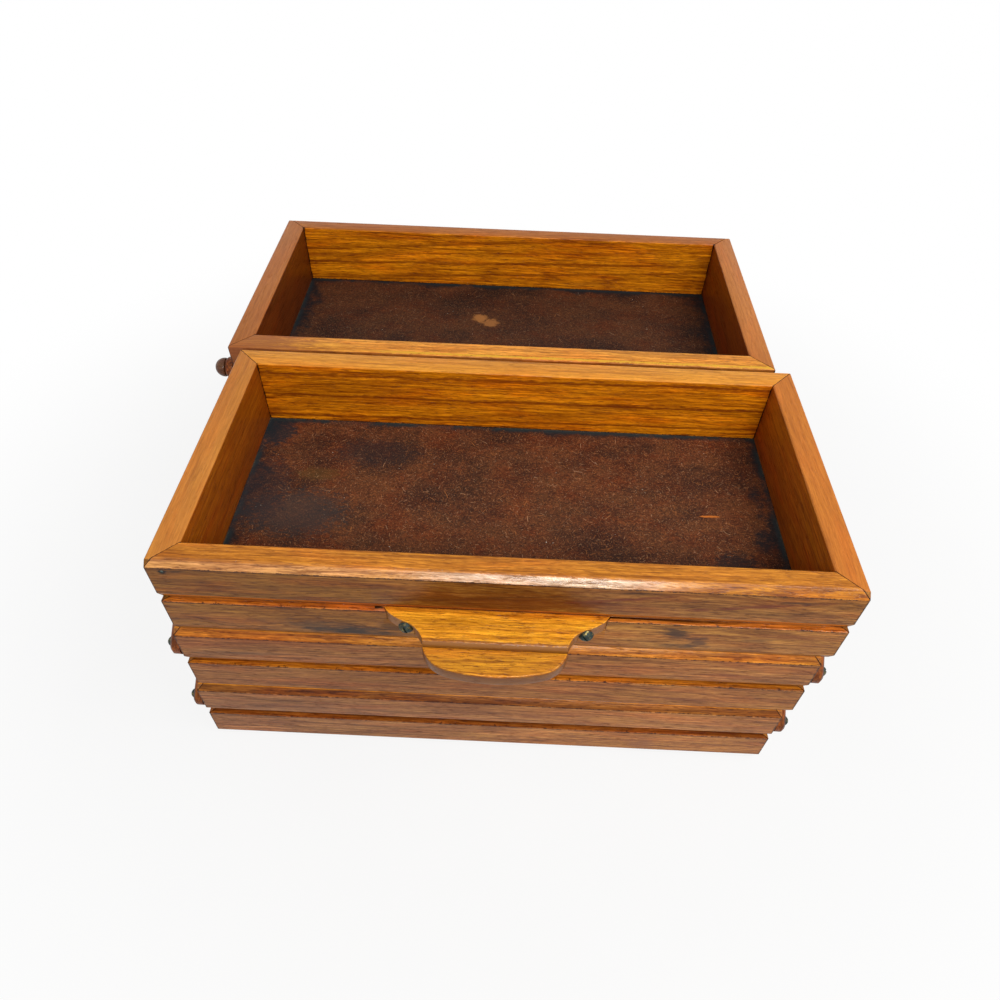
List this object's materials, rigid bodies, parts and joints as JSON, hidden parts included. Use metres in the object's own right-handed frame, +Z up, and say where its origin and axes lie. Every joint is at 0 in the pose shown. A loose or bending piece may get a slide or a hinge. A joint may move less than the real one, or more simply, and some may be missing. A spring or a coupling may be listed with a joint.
{
  "type": "cantilever sewing box",
  "caption": "Wooden sewing box on a full-depth base, with front and rear stacks of open trays that swing out and stay level on parallel wooden links.",
  "frame": {"origin": "centre of the underside of the base, on the surface that the box stands on", "axes": "+X to the right along the box, +Y from front to rear, +Z up"},
  "size_m": [0.3312, 0.3592, 0.1545],
  "materials": {
    "tray_wood": "satin varnish",
    "link_wood": "satin varnish",
    "pull_wood": "satin varnish",
    "peg_wood": "dark stain",
    "hardboard": "bare hardboard, stained",
    "screw_metal": "dark patina",
    "nail_steel": "dull"
  },
  "bodies": {
    "base": {"base_front_board": "tray_wood", "base_rear_board": "tray_wood", "base_left_board": "tray_wood", "base_right_board": "tray_wood", "base_floor_panel": "hardboard", "base_pivot_screws": "screw_metal"},
    "front_middle_tray": {"front_middle_tray_front_board": "tray_wood", "front_middle_tray_rear_board": "tray_wood", "front_middle_tray_left_board": "tray_wood", "front_middle_tray_right_board": "tray_wood", "front_middle_tray_floor_panel": "hardboard", "front_middle_tray_pivot_screws": "screw_metal"},
    "front_top_tray": {"front_top_tray_front_board": "tray_wood", "front_top_tray_rear_board": "tray_wood", "front_top_tray_left_board": "tray_wood", "front_top_tray_right_board": "tray_wood", "front_top_tray_floor_panel": "hardboard", "front_top_tray_pivot_screws": "screw_metal", "front_pull": "pull_wood", "front_pull_screws": "screw_metal", "front_top_tray_corner_nail": "nail_steel"},
    "rear_middle_tray": {"rear_middle_tray_front_board": "tray_wood", "rear_middle_tray_rear_board": "tray_wood", "rear_middle_tray_left_board": "tray_wood", "rear_middle_tray_right_board": "tray_wood", "rear_middle_tray_floor_panel": "hardboard", "rear_middle_tray_pivot_screws": "screw_metal"},
    "rear_top_tray": {"rear_top_tray_front_board": "tray_wood", "rear_top_tray_rear_board": "tray_wood", "rear_top_tray_left_board": "tray_wood", "rear_top_tray_right_board": "tray_wood", "rear_top_tray_floor_panel": "hardboard", "rear_top_tray_pivot_screws": "screw_metal", "rear_top_tray_pivot_pegs": "peg_wood", "rear_pull": "pull_wood", "rear_pull_screws": "screw_metal"},
    "front_long_links": {"front_left_long_link": "link_wood", "front_right_long_link": "link_wood"},
    "front_base_links": {"front_left_base_link": "link_wood", "front_right_base_link": "link_wood"},
    "front_tray_links": {"front_left_tray_link": "link_wood", "front_right_tray_link": "link_wood"},
    "rear_long_links": {"rear_left_long_link": "link_wood", "rear_right_long_link": "link_wood"},
    "rear_base_links": {"rear_left_base_link": "link_wood", "rear_right_base_link": "link_wood"},
    "rear_tray_links": {"rear_left_tray_link": "link_wood", "rear_right_tray_link": "link_wood"}
  },
  "joints": [
    {"name": "front_stack_open", "type": "hinge", "parent": "base", "child": "front_long_links", "pos_m": [0, -0.1415, 0.031], "axis": [1, 0, 0], "range_deg": [0, 104.1]},
    {"name": "front_middle_tray_level", "type": "hinge", "parent": "front_long_links", "child": "front_middle_tray", "pos_m": [0, -0.07525, 0.0825], "axis": [1, 0, 0], "range_deg": [-104.1, 0]},
    {"name": "front_top_tray_level", "type": "hinge", "parent": "front_long_links", "child": "front_top_tray", "pos_m": [0, -0.009, 0.134], "axis": [1, 0, 0], "range_deg": [-104.1, 0]},
    {"name": "front_base_link_swing", "type": "hinge", "parent": "base", "child": "front_base_links", "pos_m": [0, -0.07525, 0.031], "axis": [1, 0, 0], "range_deg": [0, 104.1]},
    {"name": "front_tray_link_swing", "type": "hinge", "parent": "front_middle_tray", "child": "front_tray_links", "pos_m": [0, -0.1415, 0.0825], "axis": [1, 0, 0], "range_deg": [0, 104.1]},
    {"name": "rear_stack_open", "type": "hinge", "parent": "base", "child": "rear_long_links", "pos_m": [0, 0.1415, 0.031], "axis": [-1, 0, 0], "range_deg": [0, 104.1]},
    {"name": "rear_middle_tray_level", "type": "hinge", "parent": "rear_long_links", "child": "rear_middle_tray", "pos_m": [0, 0.07525, 0.0825], "axis": [-1, 0, 0], "range_deg": [-104.1, 0]},
    {"name": "rear_top_tray_level", "type": "hinge", "parent": "rear_long_links", "child": "rear_top_tray", "pos_m": [0, 0.009, 0.134], "axis": [-1, 0, 0], "range_deg": [-104.1, 0]},
    {"name": "rear_base_link_swing", "type": "hinge", "parent": "base", "child": "rear_base_links", "pos_m": [0, 0.07525, 0.031], "axis": [-1, 0, 0], "range_deg": [0, 104.1]},
    {"name": "rear_tray_link_swing", "type": "hinge", "parent": "rear_middle_tray", "child": "rear_tray_links", "pos_m": [0, 0.1415, 0.0825], "axis": [-1, 0, 0], "range_deg": [0, 104.1]}
  ],
  "couplings": [
    {"joint": "front_middle_tray_level", "follows": "front_stack_open", "ratio": -1},
    {"joint": "front_top_tray_level", "follows": "front_stack_open", "ratio": -1},
    {"joint": "front_base_link_swing", "follows": "front_stack_open", "ratio": 1},
    {"joint": "front_tray_link_swing", "follows": "front_stack_open", "ratio": 1},
    {"joint": "rear_middle_tray_level", "follows": "rear_stack_open", "ratio": -1},
    {"joint": "rear_top_tray_level", "follows": "rear_stack_open", "ratio": -1},
    {"joint": "rear_base_link_swing", "follows": "rear_stack_open", "ratio": 1},
    {"joint": "rear_tray_link_swing", "follows": "rear_stack_open", "ratio": 1}
  ]
}
